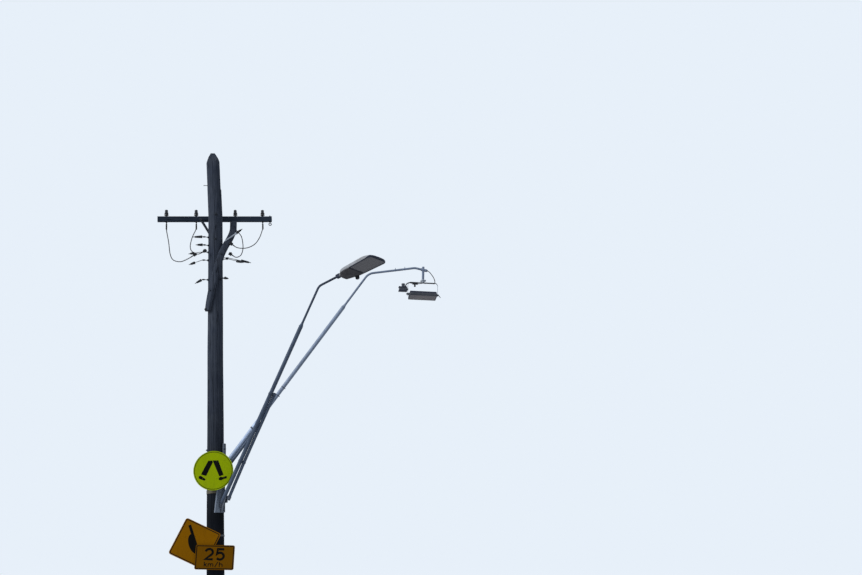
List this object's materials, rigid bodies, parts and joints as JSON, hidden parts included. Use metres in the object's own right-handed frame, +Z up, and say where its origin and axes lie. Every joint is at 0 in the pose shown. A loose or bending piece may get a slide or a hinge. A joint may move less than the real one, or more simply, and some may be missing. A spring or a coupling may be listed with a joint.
{
  "type": "wooden telephone and power pole with crossarm, outreach lights and road signs",
  "caption": "Weathered timber pole with an insulator crossarm, service fittings, outreach lights and road signs.",
  "frame": {"origin": "centre of the pole's flat foot at ground level", "axes": "+Z up the pole, +X along the crossarm towards the lights, -Y towards the road that the signs face"},
  "size_m": [5.5205, 3.7557, 10.55],
  "materials": {
    "weathered_hardwood": "grey, checked and split",
    "dark_iron": "weathered galvanised iron gone dark",
    "crossarm_timber": "dark, oiled and weathered",
    "galvanised_steel": "dull spangled zinc",
    "insulator_glaze": "dark glazed",
    "black_clamp": "dull black",
    "black_cable": "sun dulled black sheath",
    "lamp_paint": "light grey powder coat",
    "lamp_underside": "dusty grey powder coat",
    "lamp_lens": "dusty clear cover",
    "flood_black": "black powder coat",
    "flood_glass": "dusty flat glass",
    "sign_yellow_green": "fluorescent retroreflective sheeting",
    "sign_amber": "amber retroreflective sheeting",
    "sign_rail": "mill finish extrusion"
  },
  "bodies": {
    "pole": {"pole_shaft": "weathered_hardwood", "top_nail": "dark_iron", "crossarm": "crossarm_timber", "crossarm_brace": "dark_iron", "timber_strut": "weathered_hardwood", "strain_rod": "galvanised_steel", "insulator_pins": "dark_iron", "insulators": "insulator_glaze", "end_eye": "dark_iron", "service_hooks": "dark_iron", "strain_clamps": "black_clamp", "jumper_cables": "black_cable", "cable_connectors": "black_clamp", "lower_bracket": "galvanised_steel", "upper_bracket": "galvanised_steel", "bracket_saddles": "galvanised_steel", "arm_feet": "galvanised_steel", "arm_stays": "galvanised_steel", "stay_clamps": "galvanised_steel", "lamp_arm_lower": "galvanised_steel", "lamp_arm_upper": "galvanised_steel", "flood_arm_lower": "galvanised_steel", "flood_arm_upper": "galvanised_steel", "flood_arm_tee": "galvanised_steel", "lamp_spigot_clamp": "galvanised_steel", "lamp_housing": "lamp_paint", "lamp_gear_door": "lamp_underside", "lamp_lens": "lamp_lens", "lamp_sensor": "black_clamp", "flood_knuckle": "galvanised_steel", "flood_stirrup": "galvanised_steel", "flood_pivots": "dark_iron", "flood_driver_box": "flood_black", "flood_cable": "black_cable", "flood_joiner": "black_clamp", "round_sign": "sign_yellow_green", "diamond_sign": "sign_amber", "speed_plate": "sign_amber", "sign_rails": "sign_rail", "sign_bands": "galvanised_steel"},
    "floodlight": {"flood_body": "flood_black", "flood_glass": "flood_glass"}
  },
  "joints": [
    {"name": "flood_tilt", "type": "hinge", "parent": "pole", "child": "floodlight", "pos_m": [3.99061, -1.47768, 7.04916], "axis": [0.9934, -0.0861, -0.0758], "range_deg": [-40, 40]}
  ]
}
